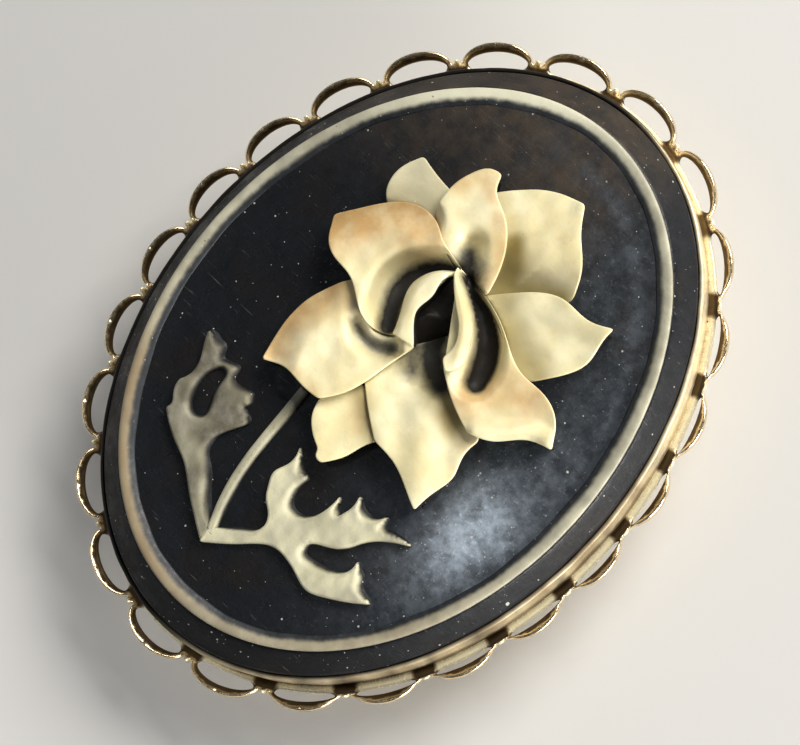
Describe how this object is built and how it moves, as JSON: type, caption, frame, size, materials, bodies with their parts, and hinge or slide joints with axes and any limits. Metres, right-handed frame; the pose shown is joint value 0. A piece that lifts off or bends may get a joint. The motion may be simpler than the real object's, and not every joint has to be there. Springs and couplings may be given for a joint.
{
  "type": "cameo brooch",
  "caption": "Oval floral cameo brooch in a scalloped openwork gilt setting, with a hinged pin and a rotating safety catch on its back.",
  "frame": {"origin": "under the middle of the oval, on the surface that the brooch lies on, face up", "axes": "+Z the way the cameo faces, +Y its top along the oval's length, +X its right-hand side"},
  "size_m": [0.034, 0.044, 0.0106],
  "materials": {
    "black_resin": "waxy semi-gloss",
    "ivory_resin": "satin",
    "heart_resin": "satin",
    "leaf_resin": "satin",
    "gilt_brass": "polished, worn",
    "steel_pin": "polished",
    "cement": "matte"
  },
  "bodies": {
    "brooch": {"cameo_ground": "black_resin", "cameo_border_ring": "ivory_resin", "petal_inner_right": "ivory_resin", "petal_inner_left": "ivory_resin", "petal_right": "ivory_resin", "petal_upper_left": "ivory_resin", "petal_top_left": "ivory_resin", "petal_left": "ivory_resin", "petal_lower_right": "ivory_resin", "petal_upper_right": "ivory_resin", "petal_bottom": "ivory_resin", "petal_top": "ivory_resin", "petal_back_left": "ivory_resin", "flower_heart": "heart_resin", "stem": "leaf_resin", "leaf_left": "leaf_resin", "leaf_right": "leaf_resin", "setting_cup": "gilt_brass", "lace_edge": "gilt_brass", "cement_bed": "cement", "pin_bar": "gilt_brass", "pin_joint": "gilt_brass", "joint_rivet": "gilt_brass", "catch_housing": "gilt_brass"},
    "pin": {"pin_stem": "steel_pin"},
    "roller": {"catch_roller": "gilt_brass"}
  },
  "joints": [
    {"name": "pin_hinge", "type": "hinge", "parent": "brooch", "child": "pin", "pos_m": [-0.011, 0.005, 0.00134], "axis": [0, 1, 0], "range_deg": [0, 100]},
    {"name": "roller_turn", "type": "hinge", "parent": "brooch", "child": "roller", "pos_m": [0.011, 0.005, 0.00134], "axis": [1, 0, 0], "range_deg": [0, 130]}
  ]
}
